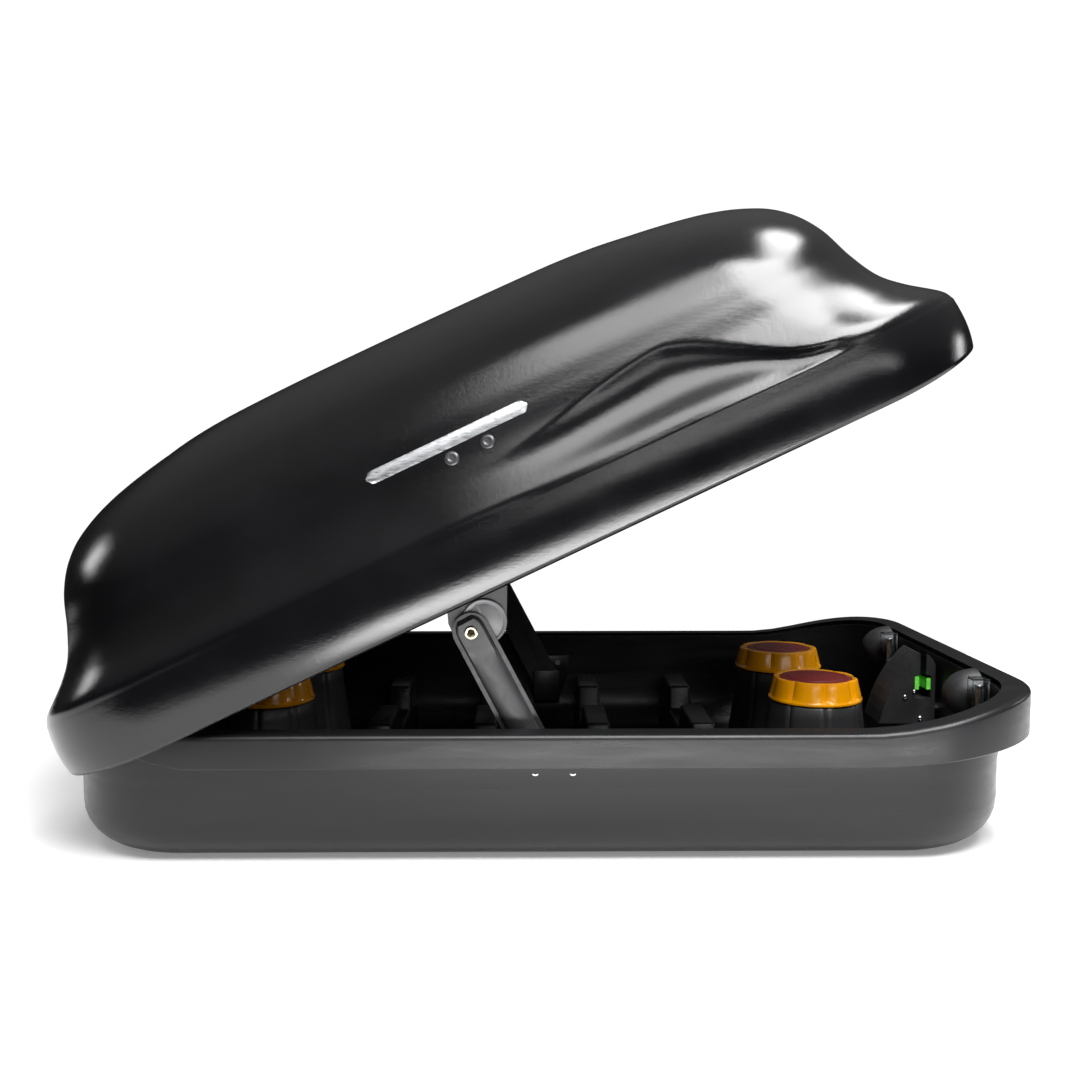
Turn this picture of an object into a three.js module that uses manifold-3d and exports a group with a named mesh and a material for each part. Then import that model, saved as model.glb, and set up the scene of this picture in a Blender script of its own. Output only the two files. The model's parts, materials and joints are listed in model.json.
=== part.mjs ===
// Roof cargo box: a low tub with four quick-turn roof bar clamps, and a deep lid hinged at the front that
// lifts at the rear on two side stays. Millimetres, +Z up, +X towards the opening rear end. The origin is the
// centre of the tub's underside, and the lid is modelled shut, then turned open about its hinge.
import * as THREE from "three";
import { mergeVertices } from "three/addons/utils/BufferGeometryUtils.js";
import Module from "manifold-3d";

const wasm = await Module();
wasm.setup();

// Driving dimensions
const RIM_FRONT = 559; // tub rim, from the origin to its front edge
const RIM_REAR = 566; // and to its rear edge
const RIM_HALF_WIDTH = 360;
const RIM_HEIGHT = 154;
const CORNER = 140; // plan radius of the corners
const WALL = 4;
const SKIRT = 37; // depth of the rim's turned-down lip
const RIM_LEDGE = 31; // how far the rim stands out from the tub wall
const FRONT_LEDGE = 20; // the same at the front, where the lid swings past
const TUB_FILLET = 56;
const REAR_RISE = 33; // the rim climbs at the rear end

const LID_FRONT = 572;
const LID_REAR = 574;
const LID_HALF_WIDTH = 374;
const LID_CORNER = 150;
const LID_TOP = 437;
const LID_CREASE = 182; // height of the crease over the lid's skirt
const TOP_PEAK_X = -130; // where the lid is tallest
const TOP_FALL = { front: 48, rear: 12 }; // how far its top falls over TOP_SPAN, each way
const TOP_SPAN = 550;
const NOSE_SHARE = 0.75; // the nose leans back by this share of what the rear end does
const OPEN_ANGLE = THREE.MathUtils.degToRad(25.3);

const HINGE = { x: -476, z: 160, side: 205, pinRadius: 4, pinLength: 44 };
const GAP = 0.4; // between pieces that touch

const CLAMP = {
  x: 349,
  y: 111,
  floor: 27,
  housingTop: 139,
  knobTop: 168,
  knobRadius: 62,
  knobTaper: 0.89, // its radius at the top against its radius below
  lobes: 8,
  lobeDepth: 5,
  wellFloor: 7,
  wellRadius: 45,
};
const KNOB_GAP = 0.6; // under the knob
const RIB = { x: [-215, -75, 75, 215], width: 40, halfLength: 288, low: 58, high: 95 };
const PAD_SPANS = [[-288, -180], [-65, 65], [180, 288]];

const ARM = { width: 42, length: 216, outer: 315.5, inner: 303.3, slotFrom: 82, slotTo: 206, slotWidth: 13 };
const STAY_PIVOT = { x: -76.6, z: 78.4 }; // on the shut lid
const STAY_FOOT = { x: 12.5, z: 80 }; // on the tub's side wall
const ARM_OPEN_TURN = THREE.MathUtils.degToRad(87.7); // below the lid's own +X when the lid is open
const RIVET = { shank: 3.2, hole: 3.6 };
const HUB = { x: -59.6, z: 81.6, radius: 25 };
const BASE_RIVETS = { x: [-10, 31], z: 106.5 };
const LID_RIVETS = { x: [-12, 30], z: 258 };

const CUP = { y: 172, z: 158, radius: 31, depth: 40 };
const PIN = { fromWall: 13, fromCup: 43 }; // the latch pin, beside its cup
const CHEEK = { halfWidth: 9, thickness: 2, low: -4, high: 28 }; // the clear guard round the pin
const LOCK = { z: 100, barrel: 11, barrelFront: 497, front: 456, low: 88, high: 183, halfWidth: 34 };
const CATCH = { x: 514, halfWidth: 22, slot: 4, slotFloor: 122, bladeLow: 156 };
const INDICATOR = { reach: 10.5, low: 134, high: 152, pocketTop: 154 }; // reach is to either side of the slot

// The lid's section, from the lower edge to the crown: each station gives the inset and height of the long
// side, then of the two ends. Heights are those at the tallest point.
const LID_STATIONS = [
  [6, 114, 2, 126],
  [0, LID_CREASE, 0, LID_CREASE],
  [6, 198, 10, 196],
  [22, 224, 38, 222],
  [34, 250, 58, 246],
  [44, 280, 74, 282],
  [56, 312, 88, 326],
  [76, 342, 108, 362],
  [108, 372, 136, 389],
  [160, 402, 183, 412],
  [225, 425, 260, 428],
  [300, 436, 360, 437],
];

function finish(color, roughness, metalness = 0) {
  return new THREE.MeshStandardMaterial({ color, roughness, metalness });
}

const MATERIAL = {
  lid: finish(0x0b0b0d, 0.18),
  tub: finish(0x2a2b2d, 0.5),
  black: finish(0x161618, 0.45),
  hub: finish(0x77797b, 0.5),
  orange: finish(0xe8930c, 0.4),
  red: finish(0x6d1420, 0.45),
  green: finish(0x39d63c, 0.4),
  clear: finish(0xdfe8ee, 0.1),
  steel: finish(0xb9bcc0, 0.3, 1),
  brass: finish(0xc9a94f, 0.35, 1),
  badge: finish(0xb4b6ba, 0.35, 1),
};

// Solids

function solidOf(geometry) {
  const bare = geometry.clone();
  bare.deleteAttribute("normal");
  bare.deleteAttribute("uv");
  const merged = mergeVertices(bare, 1e-3);
  const triVerts = [];
  for (let i = 0; i < merged.index.count; i += 3) {
    const [a, b, c] = [0, 1, 2].map((k) => merged.index.getX(i + k));
    if (a !== b && b !== c && c !== a) triVerts.push(a, b, c); // a lathe has flat triangles on its axis
  }
  return new wasm.Manifold(
    new wasm.Mesh({
      numProp: 3,
      vertProperties: merged.attributes.position.array,
      triVerts: new Uint32Array(triVerts),
    }),
  );
}

function geometryOf(solid) {
  const mesh = solid.getMesh();
  const geometry = new THREE.BufferGeometry();
  geometry.setAttribute("position", new THREE.BufferAttribute(mesh.vertProperties, 3));
  geometry.setIndex(new THREE.BufferAttribute(mesh.triVerts, 1));
  geometry.computeVertexNormals();
  return geometry;
}

function box(x, y, z) {
  const block = new THREE.BoxGeometry(x[1] - x[0], y[1] - y[0], z[1] - z[0]);
  block.translate((x[0] + x[1]) / 2, (y[0] + y[1]) / 2, (z[0] + z[1]) / 2);
  return solidOf(block);
}

// A disc, rod or cone between two places along one axis.
function rod(axis, centre, span, radius, endRadius = radius, sides = 16) {
  const length = span[1] - span[0];
  const cylinder = new THREE.CylinderGeometry(endRadius, radius, length, sides);
  if (axis === "x") cylinder.rotateZ(-Math.PI / 2);
  if (axis === "z") cylinder.rotateX(Math.PI / 2);
  const middle = (span[0] + span[1]) / 2;
  const [first, second] = centre;
  if (axis === "x") cylinder.translate(middle, first, second);
  if (axis === "y") cylinder.translate(first, middle, second);
  if (axis === "z") cylinder.translate(first, second, middle);
  return solidOf(cylinder);
}

// A flat plate whose outline lies in the XZ plane, between two Y values.
function sidePlate(shape, yLow, yHigh, curveSegments = 8) {
  const depth = yHigh - yLow;
  const plate = new THREE.ExtrudeGeometry(shape, { depth, bevelEnabled: false, curveSegments });
  plate.rotateX(Math.PI / 2);
  plate.translate(0, yHigh, 0);
  return solidOf(plate);
}

function polygon(points) {
  return new THREE.Shape(points.map(([x, y]) => new THREE.Vector2(x, y)));
}

// The Y span of a piece from its distances to the middle plane, on the side that `side` names (-1 or 1).
function ySpan(side, inner, outer) {
  return side > 0 ? [inner, outer] : [-outer, -inner];
}

// A surface through rings of points, closed by a point at each end.
function loft(startPole, rings, endPole) {
  const points = [startPole, ...rings.flat(), endPole];
  const count = rings[0].length;
  const last = points.length - 1;
  const index = [];
  for (let i = 0; i < count; i++) {
    const next = (i + 1) % count;
    index.push(0, 1 + next, 1 + i);
    for (let k = 0; k + 1 < rings.length; k++) {
      const low = 1 + k * count;
      const high = low + count;
      index.push(low + i, low + next, high + next, low + i, high + next, high + i);
    }
    const top = 1 + (rings.length - 1) * count;
    index.push(last, top + i, top + next);
  }
  const geometry = new THREE.BufferGeometry();
  geometry.setAttribute("position", new THREE.Float32BufferAttribute(points.flat(), 3));
  geometry.setIndex(index);
  return solidOf(geometry);
}

// Plan outlines

const ARC_STEPS = 5;
const SIDE_STEPS = 9;
const END_STEPS = 4;

// Points round a rectangle with round corners, anticlockwise, each with its outward direction.
function outline(front, rear, half, radius) {
  const corners = [
    [rear - radius, half - radius, 0],
    [radius - front, half - radius, 1],
    [radius - front, radius - half, 2],
    [rear - radius, radius - half, 3],
  ];
  const points = [];
  corners.forEach(([x, y, turn], corner) => {
    for (let i = 0; i <= ARC_STEPS; i++) {
      const angle = ((turn + i / ARC_STEPS) * Math.PI) / 2;
      const [nx, ny] = [Math.cos(angle), Math.sin(angle)];
      points.push({ x: x + radius * nx, y: y + radius * ny, nx, ny });
    }
    const from = points[points.length - 1];
    const [nextX, nextY] = corners[(corner + 1) % 4];
    const to = { x: nextX + radius * from.nx, y: nextY + radius * from.ny };
    const steps = turn % 2 === 0 ? SIDE_STEPS : END_STEPS;
    for (let i = 1; i < steps; i++) {
      const part = i / steps;
      const x = THREE.MathUtils.lerp(from.x, to.x, part);
      const y = THREE.MathUtils.lerp(from.y, to.y, part);
      points.push({ x, y, nx: from.nx, ny: from.ny });
    }
  });
  return points;
}

// The tub

const REAR_WALL = RIM_REAR - RIM_LEDGE - WALL; // the inner face of its rear wall
const rearRise = (x) => REAR_RISE * THREE.MathUtils.smoothstep(x, 350, RIM_REAR);
const rimTop = (x) => RIM_HEIGHT + rearRise(x);

// The lip is shallower at the front, where the lid's nose swings down past it.
function skirtLow(x) {
  const frontLift = 24 * THREE.MathUtils.smoothstep(-x, 385, 480);
  return RIM_HEIGHT - SKIRT + frontLift + 0.55 * rearRise(x);
}

function tubRing(inset, height) {
  const ledge = Math.min(inset, RIM_LEDGE);
  const front = RIM_FRONT - (ledge * FRONT_LEDGE) / RIM_LEDGE - (inset - ledge);
  const ring = outline(front, RIM_REAR - inset, RIM_HALF_WIDTH - inset, CORNER - inset * 0.7);
  return ring.map(({ x, y }) => [x, y, height(x)]);
}

const level = (height) => () => height;

// Rings of the rounded edge between the floor and the wall, from the floor up.
function filletRings(wallInset, floorHeight, radius) {
  const rings = [];
  for (const degrees of [0, 30, 60, 90]) {
    const angle = THREE.MathUtils.degToRad(degrees);
    const inset = wallInset + radius * (1 - Math.sin(angle));
    rings.push(tubRing(inset, level(floorHeight + radius * (1 - Math.cos(angle)))));
  }
  return rings;
}

function tubCavity(gap) {
  const wall = RIM_LEDGE + WALL + gap;
  const rings = filletRings(wall, WALL + gap, TUB_FILLET - WALL);
  const top = tubRing(wall, (x) => rimTop(x) + 1);
  return loft([0, 0, WALL + gap], [...rings, top], [0, 0, RIM_HEIGHT + 1]);
}

function tubSolid() {
  const inside = filletRings(RIM_LEDGE + WALL, WALL, TUB_FILLET - WALL).reverse();
  const rings = [
    ...filletRings(RIM_LEDGE, 0, TUB_FILLET),
    tubRing(RIM_LEDGE, (x) => rimTop(x) - WALL - 3),
    tubRing(WALL, (x) => rimTop(x) - WALL - 3),
    tubRing(WALL, skirtLow),
    tubRing(0, skirtLow),
    tubRing(0, (x) => rimTop(x) - 7),
    tubRing(2, (x) => rimTop(x) - 2),
    tubRing(7, rimTop),
    tubRing(RIM_LEDGE + 1, rimTop),
    tubRing(RIM_LEDGE + WALL, (x) => rimTop(x) - 4),
    ...inside,
  ];
  return loft([0, 0, 0], rings, [0, 0, WALL]);
}

const BLEND = 1; // how far a joined piece runs into its neighbour

// One cross rib, a hollow rail with three raised pads that stands on the floor.
function ribSection(x, inward) {
  const half = RIB.width / 2 - inward;
  const span = [x - half, x + half];
  const low = inward ? 0 : WALL + GAP;
  const ends = RIB.halfLength - inward;
  let rib = box(span, [-ends, ends], [low, RIB.low - inward]);
  for (const [from, to] of PAD_SPANS) {
    rib = rib.add(box(span, [from + inward, to - inward], [low, RIB.high - inward]));
  }
  return rib;
}

function ribSolid(x) {
  return ribSection(x, 0).subtract(ribSection(x, WALL)).intersect(inTub);
}

// The raised seat of one clamp. Its pocket below takes the claws.
function clampSeat(x, y, shrink) {
  const half = 84 - shrink;
  const floor = shrink ? -BLEND : WALL - BLEND;
  return box([x - half, x + half], [y - 44 + shrink, y + 44 - shrink], [floor, CLAMP.floor - shrink]);
}

const CLAMP_PLACES = [
  ["front_near", -CLAMP.x, -CLAMP.y],
  ["front_far", -CLAMP.x, CLAMP.y],
  ["rear_near", CLAMP.x, -CLAMP.y],
  ["rear_far", CLAMP.x, CLAMP.y],
];
const BOLT_RADIUS = 6;

function baseShell() {
  let shell = tubSolid();
  for (const [, x, y] of CLAMP_PLACES) shell = shell.add(clampSeat(x, y, 0));
  for (const [, x, y] of CLAMP_PLACES) {
    shell = shell.subtract(clampSeat(x, y, WALL));
    shell = shell.subtract(rod("z", [x, y], [0, CLAMP.floor + 1], BOLT_RADIUS + 1));
  }
  const across = [-RIM_HALF_WIDTH, RIM_HALF_WIDTH];
  for (const x of BASE_RIVETS.x) {
    shell = shell.subtract(rod("y", [x, BASE_RIVETS.z], across, RIVET.hole, RIVET.hole, 12));
  }
  return shell.subtract(rod("x", [0, LOCK.z], [REAR_WALL - 10, RIM_REAR], LOCK.barrel + 2));
}

// The lid

function topFall(x) {
  const fall = x < TOP_PEAK_X ? TOP_FALL.front : TOP_FALL.rear;
  return fall * ((x - TOP_PEAK_X) / TOP_SPAN) ** 2;
}

function lidRing([sideInset, sideHeight, endInset, endHeight], inward, downward) {
  const front = LID_FRONT - endInset * NOSE_SHARE - inward;
  const rear = LID_REAR - endInset - inward;
  const half = LID_HALF_WIDTH - sideInset - inward;
  const radius = Math.min(LID_CORNER - inward, 0.92 * half);
  return outline(front, rear, half, radius).map(({ x, y, nx }) => {
    const height = THREE.MathUtils.lerp(sideHeight, endHeight, nx * nx);
    const share = THREE.MathUtils.clamp((height - LID_CREASE) / (LID_TOP - LID_CREASE), 0, 1);
    return [x, y, height - share * topFall(x) - downward];
  });
}

const crown = (drop) => [0, 0, LID_TOP - topFall(0) - drop];

function lidCavity(gap) {
  const inset = WALL + gap;
  const rings = LID_STATIONS.map((station) => lidRing(station, inset, inset));
  const bottom = lidRing(LID_STATIONS[0], inset, 150);
  return loft([0, 0, -50], [bottom, ...rings], crown(inset));
}

function lidShell() {
  const [edge, ...upper] = LID_STATIONS;
  const inside = upper.map((station) => lidRing(station, WALL, WALL)).reverse();
  const rings = [
    ...inside,
    lidRing(edge, WALL, 0),
    ...LID_STATIONS.map((station) => lidRing(station, 0, 0)),
  ];
  let shell = loft(crown(WALL), rings, crown(0));
  const across = [-LID_HALF_WIDTH, LID_HALF_WIDTH];
  for (const x of LID_RIVETS.x) {
    shell = shell.subtract(rod("y", [x, LID_RIVETS.z], across, RIVET.hole, RIVET.hole, 12));
  }
  return shell;
}

const inTub = tubCavity(GAP);
const inLid = lidCavity(2 * GAP);

// Scene graph: the base group, the lid group turned open about the hinge, and what rides on the lid.

const group = new THREE.Group();
const hingeGroup = new THREE.Group();
hingeGroup.position.set(HINGE.x, 0, HINGE.z);
hingeGroup.rotation.y = -OPEN_ANGLE;
group.add(hingeGroup);
const lidGroup = new THREE.Group();
lidGroup.position.set(-HINGE.x, 0, -HINGE.z);
hingeGroup.add(lidGroup);

function place(parent, name, solid, material) {
  const mesh = new THREE.Mesh(geometryOf(solid), material);
  mesh.name = name;
  parent.add(mesh);
  return mesh;
}

// The front hinges

function hingePlate(shape, side, from, to) {
  const [low, high] = [side * HINGE.side + from, side * HINGE.side + to];
  return sidePlate(shape, low, high);
}

function earShape(points, eye) {
  const shape = polygon(points);
  const hole = new THREE.Path();
  hole.absarc(HINGE.x, HINGE.z, eye, 0, Math.PI * 2, false);
  shape.holes.push(hole);
  return shape;
}

const EYE_GAP = 0.3; // between a hinge ear and the pin

// Two ears on a floor plate, with the pin fixed across them.
function baseLeaf(side) {
  const { x, z, side: place, pinRadius, pinLength } = HINGE;
  const outside = [[x - 12, z - 4], [x - 8, z + 9], [x + 8, z + 9], [x + 14, z - 8], [x + 62, 8], [x - 6, 8]];
  const ear = polygon(outside);
  const middle = side * place;
  const foot = box([x - 6, x + 62], [middle - 16, middle + 16], [5, 10]);
  const pin = rod("y", [x, z], [middle - pinLength / 2, middle + pinLength / 2], pinRadius);
  const plates = foot.add(hingePlate(ear, side, -16, -11)).add(hingePlate(ear, side, 11, 16));
  return plates.add(pin).intersect(inTub);
}

function lidLeaf(side) {
  const { x, z, pinRadius } = HINGE;
  const tall = z + 280;
  const rearEdge = [[x - 9, z - 6], [x + 9, z - 6], [x + 24, z + 60], [x + 90, tall]];
  const outside = [...rearEdge, [x + 5, tall], [x - 9, z + 40]];
  return hingePlate(earShape(outside, pinRadius + EYE_GAP), side, -10, 10).intersect(inLid);
}

for (const [name, side] of [["near", -1], ["far", 1]]) {
  place(group, "hinge_base_leaf_" + name, baseLeaf(side), MATERIAL.black);
  place(lidGroup, "hinge_lid_leaf_" + name, lidLeaf(side), MATERIAL.black);
}

// The roof bar clamps

function housingSolid() {
  const profile = [[76, 0], [76, 8], [66, 62], [61, 96], [59, 111], [0, 111]];
  const inside = [[0, 105], [54, 105], [61, 60], [71, 6], [71, 0]];
  const points = [...profile, ...inside].map(([r, z]) => new THREE.Vector2(r, z));
  const bell = solidOf(latheUp([...points, points[0]]));
  return bell.subtract(rod("z", [0, 0], [90, 120], BOLT_RADIUS + 1));
}

// A lathe about Z, from (radius, height) points that run up the outside.
function latheUp(points, sides = 20) {
  const lathe = new THREE.LatheGeometry(points, sides);
  lathe.rotateX(Math.PI / 2);
  return lathe;
}

// The outline of the knob at one height, scaled about the middle and turned round it.
function knobRing(height, scale, turn) {
  const ring = [];
  const steps = CLAMP.lobes * 6;
  for (let i = 0; i < steps; i++) {
    const angle = (i / steps) * Math.PI * 2;
    const dip = CLAMP.lobeDepth * (0.5 - 0.5 * Math.cos(CLAMP.lobes * (angle + turn)));
    const radius = scale * (CLAMP.knobRadius - dip);
    ring.push([radius * Math.cos(angle), radius * Math.sin(angle), height]);
  }
  return ring;
}

// The knob: a lobed ring that narrows towards its top, with a well for the cap.
function knobSolid(turn) {
  const height = CLAMP.knobTop - CLAMP.housingTop - KNOB_GAP;
  const rings = [knobRing(0, 1, turn), knobRing(height, CLAMP.knobTaper, turn)];
  const body = loft([0, 0, 0], rings, [0, 0, height]);
  const well = rod("z", [0, 0], [CLAMP.wellFloor, height + 1], CLAMP.wellRadius, CLAMP.wellRadius, 32);
  return body.subtract(well).subtract(rod("z", [0, 0], [-1, 10], BOLT_RADIUS + GAP));
}

// One claw: an upright leg from its pivot under the seat, with a hooked toe.
function clawSolid(direction) {
  const points = [[6, 19], [20, 19], [60, 14], [64, 3], [54, 3], [50, 8], [14, 12], [6, 12]];
  const shape = polygon(points.map(([x, z]) => [x * direction, z]));
  const wound = direction < 0 ? new THREE.Shape(shape.getPoints().reverse()) : shape;
  return sidePlate(wound, -16, 16);
}

for (const [name, x, y] of CLAMP_PLACES) {
  const clamp = new THREE.Group();
  clamp.position.set(x, y, 0);
  group.add(clamp);
  const housing = place(clamp, "clamp_housing_" + name, housingSolid(), MATERIAL.black);
  housing.position.z = CLAMP.floor + GAP;
  const turn = y < 0 ? Math.PI / CLAMP.lobes : 0; // half a lobe between the two sides
  const knob = place(clamp, "clamp_knob_" + name, knobSolid(turn), MATERIAL.orange);
  knob.position.z = CLAMP.housingTop + KNOB_GAP;
  const cap = rod("z", [0, 0], [156, CLAMP.knobTop + 1], CLAMP.wellRadius - GAP, CLAMP.wellRadius - 2, 32);
  const pocket = rod("z", [0, 0], [155, 160], 12);
  place(clamp, "clamp_knob_cap_" + name, cap.subtract(pocket), MATERIAL.red);
  const bolt = rod("z", [0, 0], [5, 158], BOLT_RADIUS).add(rod("z", [0, 0], [147.5, 158], 10, 10, 6));
  place(clamp, "clamp_bolt_" + name, bolt, MATERIAL.steel);
  for (const [end, direction] of [["front", -1], ["rear", 1]]) {
    const claw = place(clamp, "clamp_claw_" + end + "_" + name, clawSolid(direction), MATERIAL.steel);
    claw.position.x = 2 * direction;
  }
}

// The side stays that hold the lid up

// The stay's arm, along +X from its eyelet, with a long groove in its inboard face.
function armSolid(side) {
  const half = ARM.width / 2;
  const shape = new THREE.Shape();
  shape.absarc(0, 0, half, Math.PI / 2, (Math.PI * 3) / 2, false);
  shape.lineTo(ARM.length - half * 0.6, -half);
  shape.lineTo(ARM.length, -half * 0.4);
  shape.lineTo(ARM.length, half * 0.4);
  shape.lineTo(ARM.length - half * 0.6, half);
  const eye = new THREE.Path();
  eye.absarc(0, 0, 5.7, 0, Math.PI * 2, false);
  shape.holes.push(eye);
  const [low, high] = ySpan(side, ARM.inner, ARM.outer);
  const [slotLow, slotHigh] = ySpan(side, ARM.inner - 1, ARM.outer - 4);
  const slot = box([ARM.slotFrom, ARM.slotTo], [slotLow, slotHigh], [-ARM.slotWidth / 2, ARM.slotWidth / 2]);
  return sidePlate(shape, low, high).subtract(slot);
}

// A fork riveted to the tub's wall: a wall plate, a foot under the arm, and an upright whose stud faces the
// arm's groove.
function baseBracket(side) {
  const wallShape = polygon([[-28, 118], [-28, 96], [-8, 44], [33, 44], [50, 96], [50, 118]]);
  const [wallLow, wallHigh] = ySpan(side, 320.6, 324.4);
  let fork = sidePlate(wallShape, wallLow, wallHigh);
  fork = fork.add(box([-8, 33], ySpan(side, 296, 323), [46, 50]));
  fork = fork.add(box([-8, 33], ySpan(side, 296, 299.6), [46, 98]));
  fork = fork.add(rod("y", [STAY_FOOT.x, STAY_FOOT.z], ySpan(side, 298, 302), 5));
  return fork.intersect(inTub).add(rivetPair(BASE_RIVETS, side, [321, 323], 329.4, 6));
}

// Two rivets on one backing strip: heads outside the wall, the strip inside it.
function rivetPair(rivets, side, strip, headFrom, headRadius) {
  const [stripLow, stripHigh] = ySpan(side, strip[0], strip[1]);
  const reach = [rivets.x[0] - 7, rivets.x[1] + 7];
  let pair = box(reach, [stripLow, stripHigh], [rivets.z - 4, rivets.z + 4]);
  for (const x of rivets.x) {
    const [shankLow, shankHigh] = ySpan(side, strip[0], headFrom + 1);
    const [headLow, headHigh] = ySpan(side, headFrom, headFrom + 3);
    const radii = side > 0 ? [headRadius, headRadius * 0.6] : [headRadius * 0.6, headRadius];
    pair = pair.add(rod("y", [x, rivets.z], [shankLow, shankHigh], RIVET.shank, RIVET.shank, 12));
    pair = pair.add(rod("y", [x, rivets.z], [headLow, headHigh], ...radii, 16));
  }
  return pair;
}

function lidBracket(side) {
  const foreEdge = [[-97, 96], [-97, 70], [-84, 60], [-52, 60], [-36, 74]];
  const shape = polygon([...foreEdge, [44, 236], [44, 282], [-26, 282], [-44, 236]]);
  const [low, high] = ySpan(side, 294.5, 298.7);
  const [footLow, footHigh] = ySpan(side, 297, 321);
  const [eyeLow, eyeHigh] = ySpan(side, 290, 300);
  const foot = box([-26, 44], [footLow, footHigh], [246, 270]);
  const eye = rod("y", [STAY_PIVOT.x, STAY_PIVOT.z], [eyeLow, eyeHigh], 5.7, 5.7, 16);
  return sidePlate(shape, low, high).add(foot).subtract(eye);
}

function hubSolid(side) {
  const [low, high] = ySpan(side, 299.1, 302.9);
  const [eyeLow, eyeHigh] = ySpan(side, 298, 304);
  const eye = rod("y", [STAY_PIVOT.x, STAY_PIVOT.z], [eyeLow, eyeHigh], 5.7, 5.7, 16);
  return rod("y", [HUB.x, HUB.z], [low, high], HUB.radius, HUB.radius, 32).subtract(eye);
}

// The hollow rivet that the arm turns on.
function eyeletSolid(side) {
  const centre = [STAY_PIVOT.x, STAY_PIVOT.z];
  const tube = rod("y", centre, ySpan(side, 292.5, ARM.outer + 2), 5.3, 5.3, 12);
  const outer = rod("y", centre, ySpan(side, ARM.outer + 0.4, ARM.outer + 2), 7.5, 7.5, 12);
  const inner = rod("y", centre, ySpan(side, 292.5, 294.1), 7.5, 7.5, 12);
  const bore = rod("y", centre, ySpan(side, 290, 320), 3.4, 3.4, 12);
  return tube.add(outer).add(inner).subtract(bore);
}

for (const [name, side] of [["near", -1], ["far", 1]]) {
  place(group, "stay_base_bracket_" + name, baseBracket(side), MATERIAL.black);
  place(lidGroup, "stay_lid_bracket_" + name, lidBracket(side), MATERIAL.black);
  place(lidGroup, "stay_hub_" + name, hubSolid(side), MATERIAL.hub);
  place(lidGroup, "stay_eyelet_" + name, eyeletSolid(side), MATERIAL.brass);
  place(lidGroup, "lid_rivets_" + name, rivetPair(LID_RIVETS, side, [322, 324.5], 341, 7.5), MATERIAL.black);
  const arm = place(lidGroup, "stay_arm_" + name, armSolid(side), MATERIAL.black);
  arm.position.set(STAY_PIVOT.x, 0, STAY_PIVOT.z);
  arm.rotation.y = ARM_OPEN_TURN;
}

// The rear end: two latch cups, and the lock between them

// A half round cup on the rear wall, seen from inside the box.
function cupSolid(y) {
  const points = [];
  for (let i = 0; i <= 4; i++) {
    const angle = (i / 4) * (Math.PI / 2);
    points.push(new THREE.Vector2(CUP.radius * Math.cos(angle), CUP.depth * Math.sin(angle)));
  }
  const shell = [...points, ...points.map((p) => new THREE.Vector2(p.x * 0.86, p.y * 0.86)).reverse()];
  const lathe = new THREE.LatheGeometry([...shell, shell[0]], 16);
  lathe.rotateZ(Math.PI / 2);
  lathe.translate(REAR_WALL - GAP, y, CUP.z);
  return solidOf(lathe);
}

// The clear guard that hoods the latch pin: a back, two cheeks and a top, open below.
function guardSolid(y) {
  const { halfWidth, thickness, low, high } = CHEEK;
  const middle = REAR_WALL - PIN.fromWall;
  const [near, far] = [middle - 10, middle + 10];
  const outer = box([near, far], [y - halfWidth, y + halfWidth], [CUP.z + low, CUP.z + high]);
  const inside = [y - halfWidth + thickness, y + halfWidth - thickness];
  const room = [CUP.z + low - 1, CUP.z + high - thickness];
  return outer.subtract(box([near - 1, far - thickness], inside, room));
}

function latchPin(y) {
  const x = REAR_WALL - PIN.fromWall;
  const shank = rod("z", [x, y], [CUP.z - 30, CUP.z + 16], 3.6);
  return shank.add(rod("z", [x, y], [CUP.z + 16, CUP.z + 20], 5));
}

// The lock's housing: a pointed arch from the side, with a slot right across for the lid's catch blade and
// a wider pocket round the slot's foot for the indicator.
function lockHousing() {
  const { front, low, high, halfWidth, barrel, barrelFront } = LOCK;
  const back = REAR_WALL - GAP;
  const arch = new THREE.Shape();
  arch.moveTo(front, low);
  arch.lineTo(back, low);
  arch.lineTo(back, high - 15);
  arch.quadraticCurveTo(back - 5, high - 3, back - 13, high);
  arch.lineTo(CATCH.x - 6, high);
  arch.quadraticCurveTo(front + 14, high - 33, front, low);
  const across = [-halfWidth - 1, halfWidth + 1];
  const slot = box([CATCH.x - CATCH.slot, CATCH.x + CATCH.slot], across, [CATCH.slotFloor, high + 1]);
  const pocketReach = INDICATOR.reach + 0.5;
  const pocketSpan = [CATCH.x - pocketReach, CATCH.x + pocketReach];
  const pocket = box(pocketSpan, across, [CATCH.slotFloor, INDICATOR.pocketTop]);
  const barrelRoom = rod("x", [0, LOCK.z], [barrelFront - 2, back + 10], barrel + GAP);
  return sidePlate(arch, -halfWidth, halfWidth).subtract(slot).subtract(pocket).subtract(barrelRoom);
}

// The indicator: a flange on each side of the slot, joined by a short web under the blade.
function indicatorSolid() {
  const { reach, low, high } = INDICATOR;
  const width = [1 - LOCK.halfWidth, LOCK.halfWidth - 1];
  const flange = CATCH.slot + 1;
  const fore = box([CATCH.x - reach, CATCH.x - flange], width, [low, high]);
  const aft = box([CATCH.x + flange, CATCH.x + reach], width, [low, high - 3]);
  const web = box([CATCH.x - flange - BLEND, CATCH.x + flange + BLEND], [-10, 10], [low, low + 4]);
  return fore.add(aft).add(web);
}

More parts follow.
